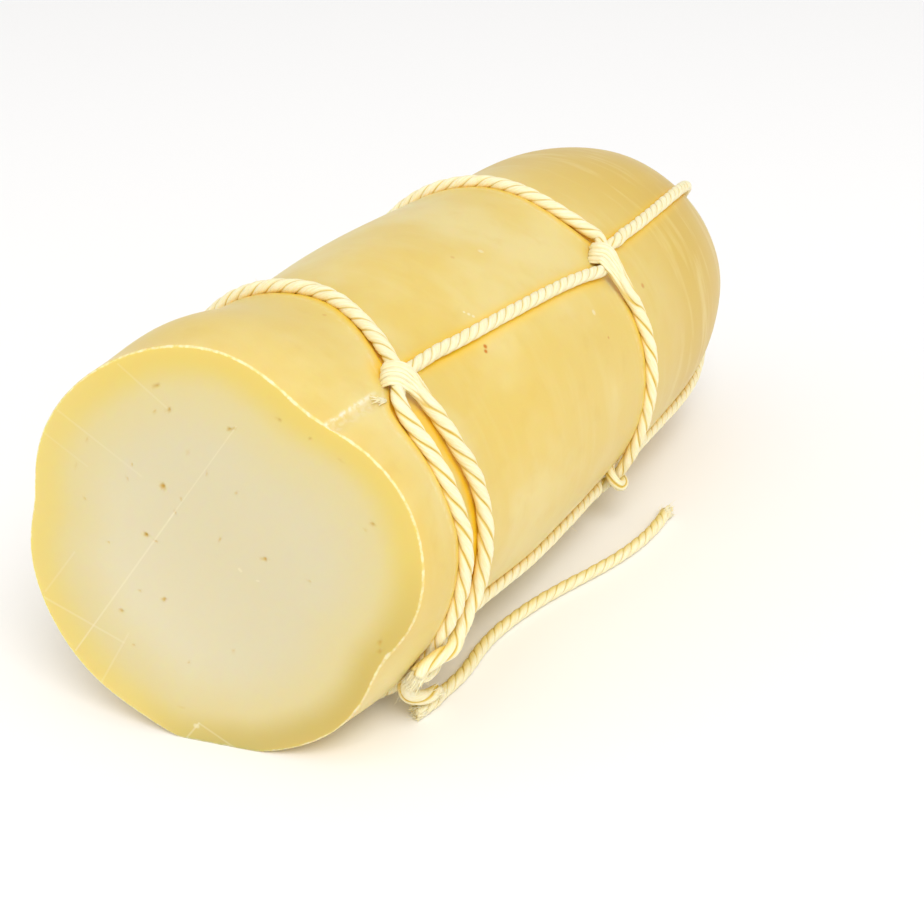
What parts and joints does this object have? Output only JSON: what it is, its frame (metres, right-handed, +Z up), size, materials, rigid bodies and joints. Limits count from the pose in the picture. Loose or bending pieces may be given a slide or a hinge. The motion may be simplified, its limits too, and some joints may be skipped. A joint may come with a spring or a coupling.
{
  "type": "provolone cheese",
  "caption": "Salami-shaped provolone log lying on its side, cut across at one end and domed at the other, tied with hoops and lengthwise runs of waxed twine.",
  "frame": {"origin": "middle of the underside of the tied log, on the surface it lies on", "axes": "+Y along the log from the cut face towards the domed end, +X towards the side with the knot, +Z up"},
  "size_m": [0.1233, 0.3044, 0.1137],
  "materials": {
    "provolone": "smooth waxy pale straw-yellow rind, paler matt paste on the cut",
    "waxed_twine": "twisted cream twine, waxed"
  },
  "bodies": {
    "root": {"cheese": "provolone", "twine_hoop_near": "waxed_twine", "twine_hoop_far": "waxed_twine", "twine_over_top": "waxed_twine", "twine_over_sides": "waxed_twine", "twine_loose_tail": "waxed_twine"}
  },
  "joints": []
}
